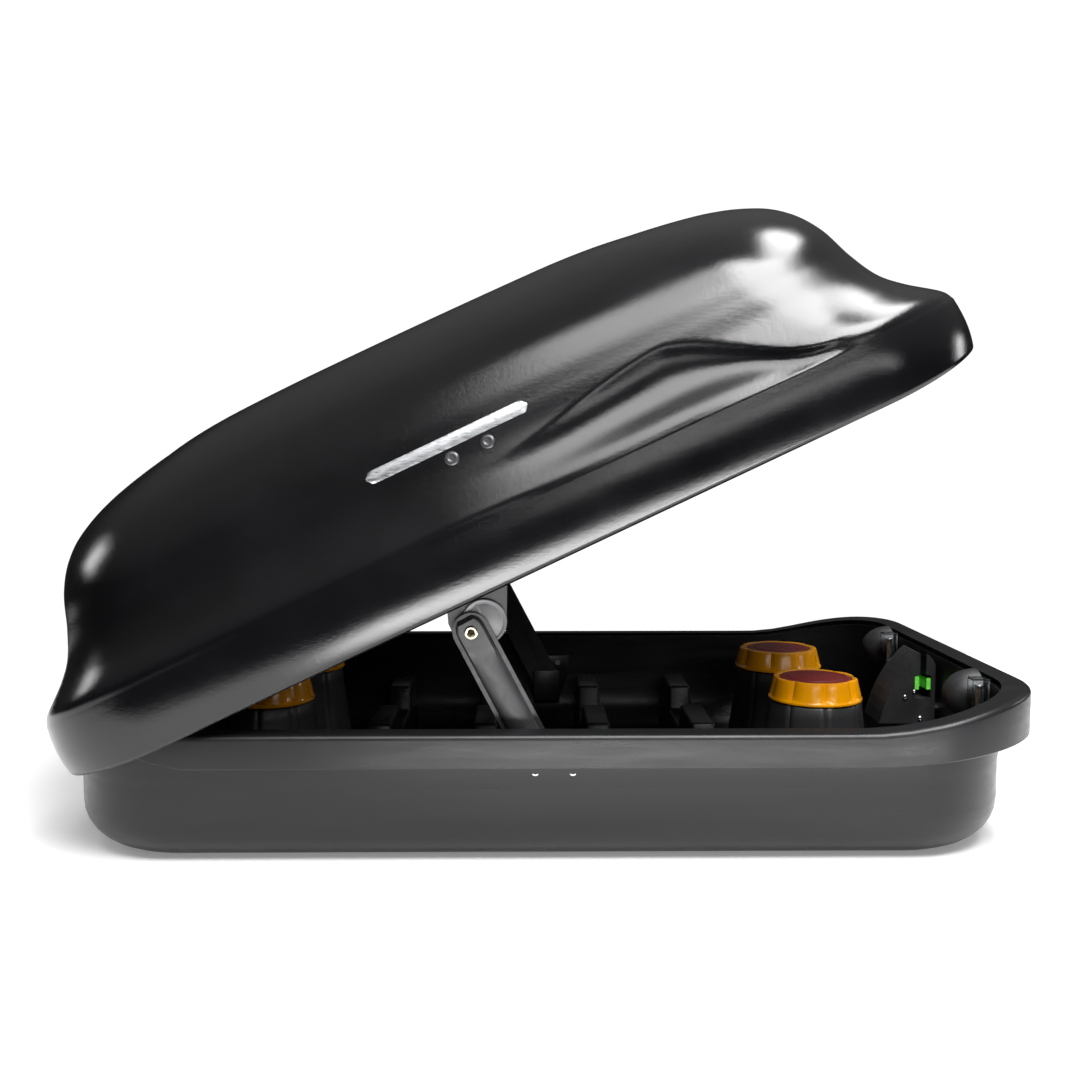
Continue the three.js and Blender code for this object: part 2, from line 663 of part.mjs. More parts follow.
for (const [name, side] of [["near", -1], ["far", 1]]) {
  place(group, "latch_cup_" + name, cupSolid(side * CUP.y), MATERIAL.black);
  place(group, "latch_guard_" + name, guardSolid(side * CUP.y - PIN.fromCup), MATERIAL.clear);
  place(group, "latch_pin_" + name, latchPin(side * CUP.y - PIN.fromCup), MATERIAL.steel);
  const y = side * CUP.y;
  const width = [y - 14, y + 14];
  const striker = box([496, 501], width, [198, LID_TOP]).add(box([489, 501], width, [198, 203]));
  place(lidGroup, "lid_striker_" + name, striker.intersect(inLid), MATERIAL.steel);
}

place(group, "lock_housing", lockHousing(), MATERIAL.black);
const keyway = box([538, 543], [-4, 4], [LOCK.z - 1, LOCK.z + 1]);
const cylinder = rod("x", [0, LOCK.z], [LOCK.barrelFront, 541], LOCK.barrel);
place(group, "lock_cylinder", cylinder.subtract(keyway), MATERIAL.steel);
place(group, "lock_indicator", indicatorSolid(), MATERIAL.green);
const bladeWidth = [-CATCH.halfWidth, CATCH.halfWidth];
const blade = box([CATCH.x - 2, CATCH.x + 2], bladeWidth, [CATCH.bladeLow, LID_TOP]);
place(lidGroup, "lid_catch_blade", blade.intersect(inLid), MATERIAL.steel);

// The shells, and a plain bar badge on each side of the lid

place(group, "base_shell", baseShell(), MATERIAL.tub);
RIB.x.forEach((x, index) => place(group, "load_rib_" + (index + 1), ribSolid(x), MATERIAL.tub));
place(lidGroup, "lid_shell", lidShell(), MATERIAL.lid);

const badgeSkin = lidCavity(-WALL - 3).subtract(lidCavity(-WALL - GAP));
for (const [name, side] of [["near", -1], ["far", 1]]) {
  const bar = box([-105, 85], ySpan(side, 290, 350), [269, 283]).intersect(badgeSkin);
  place(lidGroup, "badge_" + name, bar, MATERIAL.badge);
}

export default group;
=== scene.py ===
"""Roof cargo box, open on its side stays: the looks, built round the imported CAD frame.

Metres, +Z up, +X rearwards. Sizes below are in millimetres, and piece() turns them into metres.
"""

import json
import math

import bmesh
import bpy
from mathutils import Matrix, Vector
from mathutils.bvhtree import BVHTree


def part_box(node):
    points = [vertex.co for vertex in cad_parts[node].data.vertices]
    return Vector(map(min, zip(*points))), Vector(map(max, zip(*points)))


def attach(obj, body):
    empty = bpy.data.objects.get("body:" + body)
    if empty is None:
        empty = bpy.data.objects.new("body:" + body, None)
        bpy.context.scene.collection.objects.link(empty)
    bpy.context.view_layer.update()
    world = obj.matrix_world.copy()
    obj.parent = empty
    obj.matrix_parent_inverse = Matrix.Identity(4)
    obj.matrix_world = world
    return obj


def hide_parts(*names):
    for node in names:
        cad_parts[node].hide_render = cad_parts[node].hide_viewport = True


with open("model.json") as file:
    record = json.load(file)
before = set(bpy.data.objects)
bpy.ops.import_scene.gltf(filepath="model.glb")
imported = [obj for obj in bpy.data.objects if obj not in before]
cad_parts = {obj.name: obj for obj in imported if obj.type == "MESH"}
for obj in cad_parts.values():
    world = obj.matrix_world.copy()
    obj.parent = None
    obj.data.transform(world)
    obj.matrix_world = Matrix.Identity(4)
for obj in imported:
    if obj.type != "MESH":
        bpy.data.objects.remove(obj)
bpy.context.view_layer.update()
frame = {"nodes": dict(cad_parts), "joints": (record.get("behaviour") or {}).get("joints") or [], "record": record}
NODES = frame["nodes"]
MM = 0.001
SIDES = (("near", -1), ("far", 1))

# ---------------------------------------------------------------- sizes, in millimetres

TUB_LOW, TUB_HIGH = (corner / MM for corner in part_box("base_shell"))
RIM_FRONT = -TUB_LOW.x
RIM_REAR = TUB_HIGH.x
RIM_HALF = TUB_HIGH.y
REAR_RISE = 33.0
RIM_HEIGHT = TUB_HIGH.z - REAR_RISE
CORNER = 140.0
WALL = 4.0
SKIRT = 37.0
RIM_LEDGE = 31.0
FRONT_LEDGE = 20.0
TUB_FILLET = 56.0

LID_FRONT = 572.0
LID_REAR = 574.0
LID_HALF = 374.0
LID_CORNER = 150.0
LID_TOP = 437.0
LID_CREASE = 182.0
TOP_PEAK_X = -130.0
TOP_FALL_FRONT = 48.0
TOP_FALL_REAR = 12.0
TOP_SPAN = 550.0
NOSE_SHARE = 0.75
# Each station of the lid's section: inset and height of the long side, then of the two ends.
LID_STATIONS = [
    (6, 114, 2, 126),
    (0, LID_CREASE, 0, LID_CREASE),
    (6, 198, 10, 196),
    (22, 224, 38, 222),
    (34, 250, 58, 246),
    (44, 280, 74, 282),
    (56, 312, 88, 326),
    (76, 342, 108, 362),
    (108, 372, 136, 389),
    (160, 402, 183, 412),
    (225, 425, 260, 428),
    (300, 436, 360, 437),
]

HINGE = next(j for j in frame["joints"] if j["name"] == "lid_hinge")
HINGE_POINT = Vector(HINGE["pos_m"])
OPEN_ANGLE = -math.radians(HINGE["range_deg"][0])
# What takes a place on the shut lid to its place on the open one.
OPEN = (
    Matrix.Translation(HINGE_POINT)
    @ Matrix.Rotation(-OPEN_ANGLE, 4, "Y")
    @ Matrix.Translation(-HINGE_POINT)
)

CLAMPS = {
    name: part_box("clamp_knob_" + name) for name in ("front_near", "front_far", "rear_near", "rear_far")
}

# ---------------------------------------------------------------- mesh tools


def lerp(a, b, share):
    return a + (b - a) * share


def smoothstep(value, low, high):
    share = min(1.0, max(0.0, (value - low) / (high - low)))
    return share * share * (3 - 2 * share)


def piece(name, points, faces, sharp=35):
    """A mesh object from points in millimetres, smooth but for edges sharper than `sharp` degrees."""
    mesh = bpy.data.meshes.new(name)
    mesh.from_pydata([Vector(p) * MM for p in points], [], faces)
    mesh.update()
    fix = bmesh.new()
    fix.from_mesh(mesh)
    bmesh.ops.remove_doubles(fix, verts=fix.verts, dist=1e-6)
    bmesh.ops.recalc_face_normals(fix, faces=fix.faces)
    fix.to_mesh(mesh)
    fix.free()
    smooth(mesh, sharp)
    obj = bpy.data.objects.new(name, mesh)
    bpy.context.scene.collection.objects.link(obj)
    return obj


def smooth(mesh, sharp):
    mesh.shade_smooth()
    mesh.set_sharp_from_angle(angle=math.radians(sharp))


def loft_faces(count, rings, first=0):
    """Quads between rings of points that follow each other."""
    faces = []
    for k in range(rings - 1):
        low = first + k * count
        for i in range(count):
            following = (i + 1) % count
            faces.append((low + i, low + following, low + count + following, low + count + i))
    return faces


def loft(name, rings, cap_start=True, cap_end=True, sharp=35):
    count = len(rings[0])
    faces = loft_faces(count, len(rings))
    if cap_start:
        faces.append(tuple(reversed(range(count))))
    if cap_end:
        faces.append(tuple(range((len(rings) - 1) * count, len(rings) * count)))
    return piece(name, [p for ring in rings for p in ring], faces, sharp)


def lathe(name, profile, centre, axis="z", sides=48, radius_at=None, sharp=35):
    """A turned piece from (radius, height) points. radius_at(angle, radius, height) may shape its plan."""
    rings = []
    for radius, height in profile:
        ring = []
        for i in range(sides):
            angle = 2 * math.pi * i / sides
            r = radius_at(angle, radius, height) if radius_at else radius
            a, b = r * math.cos(angle), r * math.sin(angle)
            local = {"x": (height, a, b), "y": (a, height, -b), "z": (a, b, height)}[axis]
            ring.append([c + l for c, l in zip(centre, local)])
        rings.append(ring)
    closed = profile[0] == profile[-1]
    return loft(name, rings, not closed and profile[0][0] > 0, not closed and profile[-1][0] > 0, sharp)


def prism(name, outline, low, high, axis="y", sharp=35):
    """A plate whose outline lies across `axis`."""
    order = {"x": (2, 0, 1), "y": (0, 2, 1), "z": (0, 1, 2)}[axis]

    def lift(point, depth):
        flat = (point[0], point[1], depth)
        return [flat[k] for k in order]

    return loft(name, [[lift(p, low) for p in outline], [lift(p, high) for p in outline]], sharp=sharp)


def block(name, x, y, z):
    return prism(name, [(x[0], y[0]), (x[1], y[0]), (x[1], y[1]), (x[0], y[1])], z[0], z[1], "z")


def bevel(obj, width, segments=3, angle=35):
    modifier = obj.modifiers.new("edges", "BEVEL")
    modifier.width = width * MM
    modifier.segments = segments
    modifier.limit_method = "ANGLE"
    modifier.angle_limit = math.radians(angle)
    modifier.harden_normals = True
    return obj


def applied(obj, sharp=35):
    """The object with its modifiers made part of its mesh."""
    evaluated = obj.evaluated_get(bpy.context.evaluated_depsgraph_get())
    mesh = bpy.data.meshes.new_from_object(evaluated)
    obj.modifiers.clear()
    obj.data = mesh
    smooth(mesh, sharp)
    return obj


def combine(obj, tools, operation, sharp=35):
    """Booleans with each tool in turn, which are then deleted."""
    for tool in tools:
        modifier = obj.modifiers.new("combine", "BOOLEAN")
        modifier.operation = operation
        modifier.object = tool
        modifier.solver = "EXACT"
        applied(obj, sharp)
        bpy.data.objects.remove(tool)
    return obj


def joined(name, parts, sharp=35):
    """Several pieces as one object."""
    whole = bmesh.new()
    for part in parts:
        part = applied(part, sharp) if part.modifiers else part
        copy = part.data.copy()
        copy.transform(part.matrix_world)
        whole.from_mesh(copy)
        bpy.data.objects.remove(part)
    mesh = bpy.data.meshes.new(name)
    whole.to_mesh(mesh)
    whole.free()
    smooth(mesh, sharp)
    obj = bpy.data.objects.new(name, mesh)
    bpy.context.scene.collection.objects.link(obj)
    return obj


def finish(obj, material, body, slot, *nodes, on_lid=False):
    """Gives a piece its material and its body, and hides the CAD nodes that it stands for."""
    if on_lid:
        obj.data.transform(OPEN)
    if not obj.data.materials:
        obj.data.materials.append(material)
    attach(obj, body)
    if nodes:
        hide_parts(*nodes)
    return obj


def outline(front, rear, half, radius, arc=16, side=26, end=12):
    """Points round a rectangle with round corners, each with its outward direction."""
    corners = [
        (rear - radius, half - radius, 0),
        (radius - front, half - radius, 1),
        (radius - front, radius - half, 2),
        (rear - radius, radius - half, 3),
    ]
    points = []
    for index, (x, y, turn) in enumerate(corners):
        for i in range(arc + 1):
            angle = (turn + i / arc) * math.pi / 2
            nx, ny = math.cos(angle), math.sin(angle)
            points.append((x + radius * nx, y + radius * ny, nx, ny))
        from_x, from_y, nx, ny = points[-1]
        next_x, next_y, _ = corners[(index + 1) % 4]
        to_x, to_y = next_x + radius * nx, next_y + radius * ny
        steps = side if turn % 2 == 0 else end
        for i in range(1, steps):
            points.append((lerp(from_x, to_x, i / steps), lerp(from_y, to_y, i / steps), nx, ny))
    return points


# ---------------------------------------------------------------- materials


class Surface:
    """A node material.

    The shader's colour, roughness and relief come from noise in the object's own space.
    """

    def __init__(self, name):
        self.material = bpy.data.materials.new(name)
        self.material.use_nodes = True
        self.nodes = self.material.node_tree.nodes
        self.links = self.material.node_tree.links
        self.shader = self.nodes["Principled BSDF"]
        self.place = self.nodes.new("ShaderNodeTexCoord").outputs["Object"]
        self.height = None

    def set(self, **values):
        for name, value in values.items():
            self.shader.inputs[name.replace("_", " ")].default_value = value
        return self

    def noise(self, scale, detail=3.0, stretch=(1, 1, 1), roughness=0.5):
        mapping = self.nodes.new("ShaderNodeMapping")
        mapping.inputs["Scale"].default_value = stretch
        self.links.new(self.place, mapping.inputs["Vector"])
        texture = self.nodes.new("ShaderNodeTexNoise")
        texture.inputs["Scale"].default_value = scale
        texture.inputs["Detail"].default_value = detail
        texture.inputs["Roughness"].default_value = roughness
        self.links.new(mapping.outputs["Vector"], texture.inputs["Vector"])
        return texture.outputs["Fac"]

    def spread(self, value, low, high, from_low=0.3, from_high=0.7):
        node = self.nodes.new("ShaderNodeMapRange")
        node.inputs["From Min"].default_value = from_low
        node.inputs["From Max"].default_value = from_high
        node.inputs["To Min"].default_value = low
        node.inputs["To Max"].default_value = high
        self.links.new(value, node.inputs["Value"])
        return node.outputs["Result"]

    def colour(self, value, dark, light):
        ramp = self.nodes.new("ShaderNodeValToRGB")
        ramp.color_ramp.elements[0].position = 0.32
        ramp.color_ramp.elements[1].position = 0.68
        ramp.color_ramp.elements[0].color = (*dark, 1)
        ramp.color_ramp.elements[1].color = (*light, 1)
        self.links.new(value, ramp.inputs["Fac"])
        self.links.new(ramp.outputs["Color"], self.shader.inputs["Base Color"])
        return self

    def rough(self, value, low, high):
        self.links.new(self.spread(value, low, high), self.shader.inputs["Roughness"])
        return self

    def relief(self, value, distance, strength=1.0):
        """Adds a bump on top of those before it. The distance is in millimetres."""
        bump = self.nodes.new("ShaderNodeBump")
        bump.inputs["Strength"].default_value = strength
        bump.inputs["Distance"].default_value = distance * MM
        self.links.new(value, bump.inputs["Height"])
        if self.height:
            self.links.new(self.height, bump.inputs["Normal"])
        self.height = bump.outputs["Normal"]
        self.links.new(self.height, self.shader.inputs["Normal"])
        return self


def gloss_lid():
    """Gloss black sheet with orange peel, a finer sparkle and faint handling haze."""
    s = Surface("lid_gloss_black")
    s.set(Specular_IOR_Level=0.5)
    s.colour(s.noise(9), (0.0012, 0.0012, 0.0015), (0.0028, 0.0028, 0.0034))
    s.rough(s.noise(14, 4), 0.12, 0.19)
    s.relief(s.noise(240, 2), 0.3, 0.3)
    s.relief(s.noise(900, 2), 0.14, 0.8)
    return s.material


def satin_tub():
    """Satin black sheet: a fine pressed grain, with streaks along the box from its forming."""
    s = Surface("tub_satin_black")
    s.set(Specular_IOR_Level=0.32)
    s.colour(s.noise(6, 4, (0.4, 1, 3)), (0.005, 0.0051, 0.0056), (0.010, 0.0102, 0.011))
    s.rough(s.noise(40, 4, (0.3, 1, 3)), 0.27, 0.38)
    s.relief(s.noise(1500, 3), 0.12, 0.7)
    s.relief(s.noise(11, 2), 1.2, 0.5)
    return s.material


def moulded(name, dark, light, rough=(0.38, 0.52), grain=1800, depth=0.06):
    """Moulded plastic: fine spark-eroded grain, slow colour drift and scuffs."""
    s = Surface(name)
    s.colour(s.noise(25, 5), dark, light)
    s.rough(s.noise(160, 6), *rough)
    s.relief(s.noise(grain, 2), depth, 0.7)
    s.relief(s.noise(60, 2), 0.15, 0.5)
    return s.material


def metal(name, dark, light, rough=(0.22, 0.4), stretch=(1, 1, 1)):
    """Plated metal with fine brushing and cloudy tarnish."""
    s = Surface(name)
    s.set(Metallic=1.0)
    s.colour(s.noise(120, 5), dark, light)
    s.rough(s.noise(700, 4, stretch), *rough)
    s.relief(s.noise(1200, 2, stretch), 0.03, 0.6)
    return s.material


def clear_plastic():
    """Clear moulded plastic with faint flow lines."""
    s = Surface("clear_plastic")
    s.set(Transmission_Weight=1.0, IOR=1.49)
    s.colour(s.noise(90, 3), (0.86, 0.9, 0.92), (0.95, 0.97, 0.98))
    s.rough(s.noise(220, 3), 0.04, 0.12)
    s.relief(s.noise(260, 2, (1, 1, 0.2)), 0.1, 0.5)
    return s.material


MATERIALS = {
    "lid_gloss_black": gloss_lid(),
    "tub_satin_black": satin_tub(),
    "lid_inner": moulded("lid_inner", (0.008, 0.008, 0.009), (0.014, 0.014, 0.016), (0.4, 0.55), 1300, 0.1),
    "black_plastic": moulded("black_plastic", (0.012, 0.012, 0.013), (0.024, 0.024, 0.026)),
    "panel_plastic": moulded("panel_plastic", (0.022, 0.021, 0.022), (0.034, 0.032, 0.033), (0.4, 0.55)),
    "bracket_black": moulded(
        "bracket_black", (0.01, 0.01, 0.011), (0.02, 0.02, 0.022), (0.3, 0.45), 900, 0.05
    ),
    "knob_orange": moulded("knob_orange", (0.78, 0.29, 0.0), (0.88, 0.36, 0.0), (0.16, 0.25), 2000, 0.02),
    "knob_red": moulded("knob_red", (0.16, 0.012, 0.012), (0.22, 0.018, 0.016), (0.4, 0.55)),
    "hub_grey": moulded("hub_grey", (0.1, 0.1, 0.103), (0.14, 0.14, 0.143), (0.35, 0.5)),
    "indicator_green": moulded("indicator_green", (0.14, 0.7, 0.06), (0.2, 0.8, 0.1), (0.3, 0.4)),
    "clear_plastic": clear_plastic(),
    "steel": metal("steel", (0.5, 0.5, 0.51), (0.68, 0.68, 0.69)),
    "brass": metal("brass", (0.66, 0.6, 0.42), (0.8, 0.74, 0.56), (0.18, 0.32)),
    "rivet_black": moulded("rivet_black", (0.012, 0.012, 0.014), (0.03, 0.03, 0.034), (0.2, 0.35)),
    "badge_silver": metal("badge_silver", (0.55, 0.56, 0.58), (0.72, 0.73, 0.75), (0.25, 0.4), (0.1, 1, 1)),
}

# ---------------------------------------------------------------- the tub


REAR_RISE_START = 350
SKIRT_NOSE_LIFT = 24
SKIRT_LIFT_START = 385
SKIRT_LIFT_END = 480
SKIRT_REAR_SHARE = 0.55
CORNER_SHRINK = 0.7
UNDER_RIM = 3
SKIRT_CHAMFER = 1
EDGE_CURL = 6.0
FLOOR_REACH_BELOW = 60
FLOOR_REACH_INSIDE = 56


def rear_rise(x):
    return REAR_RISE * smoothstep(x, REAR_RISE_START, RIM_REAR)


def rim_top(x):
    return RIM_HEIGHT + rear_rise(x)


def skirt_low(x):
    lift = SKIRT_NOSE_LIFT * smoothstep(-x, SKIRT_LIFT_START, SKIRT_LIFT_END)
    return RIM_HEIGHT - SKIRT + lift + SKIRT_REAR_SHARE * rear_rise(x)


def tub_ring(inset, height):
    ledge = min(inset, RIM_LEDGE)
    front = RIM_FRONT - ledge * FRONT_LEDGE / RIM_LEDGE - (inset - ledge)
    ring = outline(front, RIM_REAR - inset, RIM_HALF - inset, CORNER - CORNER_SHRINK * inset)
    return [(x, y, height(x) if callable(height) else height) for x, y, _, _ in ring]


def turned_edge(centre_inset, radius, from_degrees, to_degrees, height, steps=5):
    """Rings round a curled edge whose middle is `height` above the floor, at centre_inset."""
    rings = []
    for i in range(steps + 1):
        angle = math.radians(lerp(from_degrees, to_degrees, i / steps))
        rise = radius * math.sin(angle)
        rings.append(tub_ring(centre_inset - radius * math.cos(angle), lambda x: height(x) + rise))
    return rings


def fillet(inset, floor, radius, steps=8):
    """Rings of the rounded foot of the wall, from the floor up."""
    rings = []
    for i in range(steps + 1):
        angle = math.radians(90 * i / steps)
        rings.append(tub_ring(inset + radius * (1 - math.sin(angle)), floor + radius * (1 - math.cos(angle))))
    return rings


def under_rim(x):
    return rim_top(x) - WALL - UNDER_RIM


def above_skirt(x):
    return skirt_low(x) + SKIRT_CHAMFER


def below_curl(x):
    return rim_top(x) - EDGE_CURL


def tub_body():
    """From under the floor, out round the skirt, over the rim and down to the floor inside."""
    inner = RIM_LEDGE + WALL
    rings = [tub_ring(RIM_LEDGE + TUB_FILLET + FLOOR_REACH_BELOW, 0), *fillet(RIM_LEDGE, 0, TUB_FILLET)]
    rings += [tub_ring(RIM_LEDGE, under_rim), tub_ring(WALL, under_rim), tub_ring(WALL, above_skirt)]
    rings += [tub_ring(WALL - SKIRT_CHAMFER, skirt_low), tub_ring(SKIRT_CHAMFER, skirt_low)]
    rings += [tub_ring(0, above_skirt)]
    rings += turned_edge(EDGE_CURL, EDGE_CURL, 0, 90, below_curl)
    rings += turned_edge(inner - EDGE_CURL, -EDGE_CURL, -90, -180, below_curl)
    rings += list(reversed(fillet(inner, WALL, TUB_FILLET - WALL)))
    rings.append(tub_ring(inner + TUB_FILLET + FLOOR_REACH_INSIDE, WALL))
    return loft("tub", rings, sharp=30)


RIB_X = (-215, -75, 75, 215)
RIB_HALF_WIDTH = 20.0
RIB_LOW = 58.0
RIB_HIGH = 95.0
PAD_EDGES = (-288, -180, -65, 65, 180, 288)
PAD_SLOPE = 7.0
RIB_FOOT = 2.0
OUTER_PAD_SHARE = 0.8
RIB_TAPER = 0.8


def rib(x):
    """One cross rib: three pads with sloping flanks and a saddle between each two."""
    profile = [(PAD_EDGES[0], RIB_FOOT)]
    for index, edge in enumerate(PAD_EDGES):
        rising = index % 2 == 0
        between_pads = 0 < index < len(PAD_EDGES) - 1
        level = RIB_LOW if between_pads else lerp(RIB_FOOT, RIB_LOW, OUTER_PAD_SHARE)
        at_top = (edge + (PAD_SLOPE if rising else -PAD_SLOPE), RIB_HIGH)
        at_foot = (edge, level)
        profile += [at_foot, at_top] if rising else [at_top, at_foot]
    profile.append((PAD_EDGES[-1], RIB_FOOT))
    obj = prism("rib", profile, x - RIB_HALF_WIDTH, x + RIB_HALF_WIDTH, "x")
    for vertex in obj.data.vertices:
        share = (vertex.co.z / MM - RIB_FOOT) / (RIB_HIGH - RIB_FOOT)
        vertex.co.x = x * MM + (vertex.co.x - x * MM) * lerp(1.0, RIB_TAPER, share)
    return applied(bevel(obj, 4.0, 3, 20))


SEAT = (84.0, 44.0, 27.0)
BOLT_BORE = 7


def clamp_seat(x, y, shrink):
    """The raised seat under a clamp, or with shrink the smaller block that hollows it from below."""
    half_x, half_y, top = (v - shrink for v in SEAT)
    foot = -1.0 if shrink else 2.0
    obj = block("seat", (x - half_x, x + half_x), (y - half_y, y + half_y), (foot, top))
    return obj if shrink else applied(bevel(obj, 5.0, 3))


def make_tub():
    tub = tub_body()
    places = [((low.x + high.x) / 2 / MM, (low.y + high.y) / 2 / MM) for low, high in CLAMPS.values()]
    combine(tub, [rib(x) for x in RIB_X] + [clamp_seat(x, y, 0) for x, y in places], "UNION", 30)
    cuts = [clamp_seat(x, y, WALL) for x, y in places]
    bore = [(0, 0), (BOLT_BORE, 0), (BOLT_BORE, 30), (0, 30)]
    cuts += [lathe("bore", bore, (x, y, 0), sides=24) for x, y in places]
    combine(tub, cuts, "DIFFERENCE", 30)
    ribs = ["load_rib_%d" % (i + 1) for i in range(len(RIB_X))]
    return finish(tub, MATERIALS["tub_satin_black"], "base", "tub_satin_black", "base_shell", *ribs)


make_tub()

# ---------------------------------------------------------------- the lid


def spline(p0, p1, p2, p3, t):
    """Catmull-Rom between p1 and p2."""
    return 0.5 * (
        2 * p1
        + (p2 - p0) * t
        + (2 * p0 - 5 * p1 + 4 * p2 - p3) * t * t
        + (3 * p1 - p0 - 3 * p2 + p3) * t**3
    )


SKIRT_WIDEST = 0.48  # how far up the skirt it is widest
SKIRT_STEPS = 14
BULGE_BELOW = 4.5
BULGE_ABOVE = 3.0
BULGE_END_SHARE = 0.4
CREASE_INSET = 3.2
CREASE_END_INSET = 1.4


def lid_sections(steps=9):
    """Stations filled in by a smooth curve above the crease, and by a shallow bulge below it."""
    edge, *upper = LID_STATIONS
    sections = []
    for i in range(SKIRT_STEPS):
        rise = i / SKIRT_STEPS
        bulge = ((rise - SKIRT_WIDEST) / SKIRT_WIDEST) ** 2
        inset = (BULGE_BELOW if rise < SKIRT_WIDEST else BULGE_ABOVE) * bulge
        side_height, end_height = (lerp(edge[k], upper[0][k], rise) for k in (1, 3))
        sections.append((inset, side_height, BULGE_END_SHARE * inset, end_height))
    upper[0] = (CREASE_INSET, LID_CREASE, CREASE_END_INSET, LID_CREASE)
    mirrored = tuple(2 * a - b for a, b in zip(upper[0], upper[1]))
    end = tuple(2 * a - b for a, b in zip(upper[-1], upper[-2]))
    knots = [mirrored, *upper, end]
    for k in range(1, len(knots) - 2):
        near = knots[k - 1 : k + 3]
        for i in range(steps):
            sections.append(tuple(spline(*(knot[j] for knot in near), i / steps) for j in range(4)))
    sections.append(upper[-1])
    return sections


def top_fall(x):
    fall = TOP_FALL_FRONT if x < TOP_PEAK_X else TOP_FALL_REAR
    return fall * ((x - TOP_PEAK_X) / TOP_SPAN) ** 2


SCOOP = {"depth": 9.0, "low": 184.0, "front": 236.0, "peak": 272.0, "rear": 200.0, "peak_x": 241.0}
SCOOP_REAR_X = 400
SCOOP_ROUNDING = 20
SCOOP_START = (-40, 200)
SCOOP_END = (330, 430)


def scoop(x, z):
    """How deep the hollow is in the lid's side: it starts under the badge, and ends under the rear corner."""
    if x < SCOOP["peak_x"]:
        crease = lerp(SCOOP["front"], SCOOP["peak"], smoothstep(x, 0, SCOOP["peak_x"] + SCOOP_ROUNDING))
    else:
        falling = smoothstep(x, SCOOP["peak_x"] - SCOOP_ROUNDING, SCOOP_REAR_X)
        crease = lerp(SCOOP["peak"], SCOOP["rear"], falling)
    across = (z - SCOOP["low"]) / (crease - SCOOP["low"])
    if not 0 < across < 1:
        return 0.0
    along = smoothstep(x, *SCOOP_START) * (1 - smoothstep(x, *SCOOP_END))
    return SCOOP["depth"] * along * math.sin(math.pi * across)


LID_CORNER_MOST = 0.92
LID_SIDE_POINTS = 84


def lid_ring(section):
    side_inset, side_height, end_inset, end_height = section
    half = LID_HALF - side_inset
    radius = min(LID_CORNER, LID_CORNER_MOST * half)
    ring = []
    front = LID_FRONT - end_inset * NOSE_SHARE
    for x, y, nx, ny in outline(front, LID_REAR - end_inset, half, radius, side=LID_SIDE_POINTS):
        height = lerp(side_height, end_height, nx * nx)
        share = min(1.0, max(0.0, (height - LID_CREASE) / (LID_TOP - LID_CREASE)))
        height -= share * top_fall(x)
        ring.append((x, y - ny**3 * scoop(x, height), height))
    return ring


LID_DOME = 0.5
LID_TOP_RINGS = (0.75, 0.5, 0.25)


def make_lid():
    rings = [lid_ring(section) for section in lid_sections()]
    last = rings[-1]
    middle = sum(p[0] for p in last) / len(last)
    for share in LID_TOP_RINGS:
        ring = []
        for x, y, _ in last:
            x = lerp(middle, x, share)
            ring.append((x, y * share, LID_TOP + LID_DOME - top_fall(x)))
        rings.append(ring)
    lid = loft("lid", rings, cap_start=False, sharp=60)
    shell = lid.modifiers.new("thickness", "SOLIDIFY")
    shell.thickness = WALL * MM
    shell.offset = -1
    shell.material_offset = 1
    lid.data.materials.append(MATERIALS["lid_gloss_black"])
    lid.data.materials.append(MATERIALS["lid_inner"])
    return lid


lid = make_lid()
LID_TREE = BVHTree.FromObject(lid, bpy.context.evaluated_depsgraph_get())


def lid_surface(x, z, side):
    """The place on the shut lid's side at x and z in millimetres, and its outward direction."""
    start = Vector((x * MM, side, z * MM))
    place, normal, _, _ = LID_TREE.ray_cast(start, Vector((0, -side, 0)))
    return place / MM, normal


BADGE_LOW = (-105, 269)
BADGE_HIGH = (85, 283)
BADGE_CREST = 2.4
BADGE_EDGE_FALL = 1.2
BADGE_SUNK = 0.3


def make_badge(name, side):
    """A plain silver bar with round ends that follows the lid's side."""
    low, high = BADGE_LOW, BADGE_HIGH
    steps, across = 40, 6
    outer, inner = [], []
    for i in range(steps + 1):
        share = i / steps
        x = lerp(low[0], high[0], share)
        from_end = min(share, 1 - share) * (high[0] - low[0])
        half = (high[1] - low[1]) / 2
        half = math.sqrt(max(0.02, 1 - max(0.0, 1 - from_end / half) ** 2)) * half
        for j in range(across + 1):
            v = 2 * j / across - 1
            place, normal = lid_surface(x, (low[1] + high[1]) / 2 + v * half, side)
            outer.append(place + normal * (BADGE_CREST - BADGE_EDGE_FALL * v**4))
            inner.append(place - normal * BADGE_SUNK)
    count = across + 1
    faces = []
    for i in range(steps):
        for j in range(across):
            a = i * count + j
            quad = (a, a + 1, a + count + 1, a + count)
            faces += [quad, tuple(len(outer) + k for k in reversed(quad))]
    edge = [i * count for i in range(steps + 1)] + [steps * count + j for j in range(1, count)]
    edge += [i * count + across for i in range(steps - 1, -1, -1)] + list(range(across - 1, 0, -1))
    for a, b in zip(edge, edge[1:] + edge[:1]):
        faces.append((a, b, b + len(outer), a + len(outer)))
    badge = piece("badge_bar_" + name, outer + inner, faces, 50)
    finish(badge, MATERIALS["badge_silver"], "lid", "badge_silver", "badge_" + name, on_lid=True)


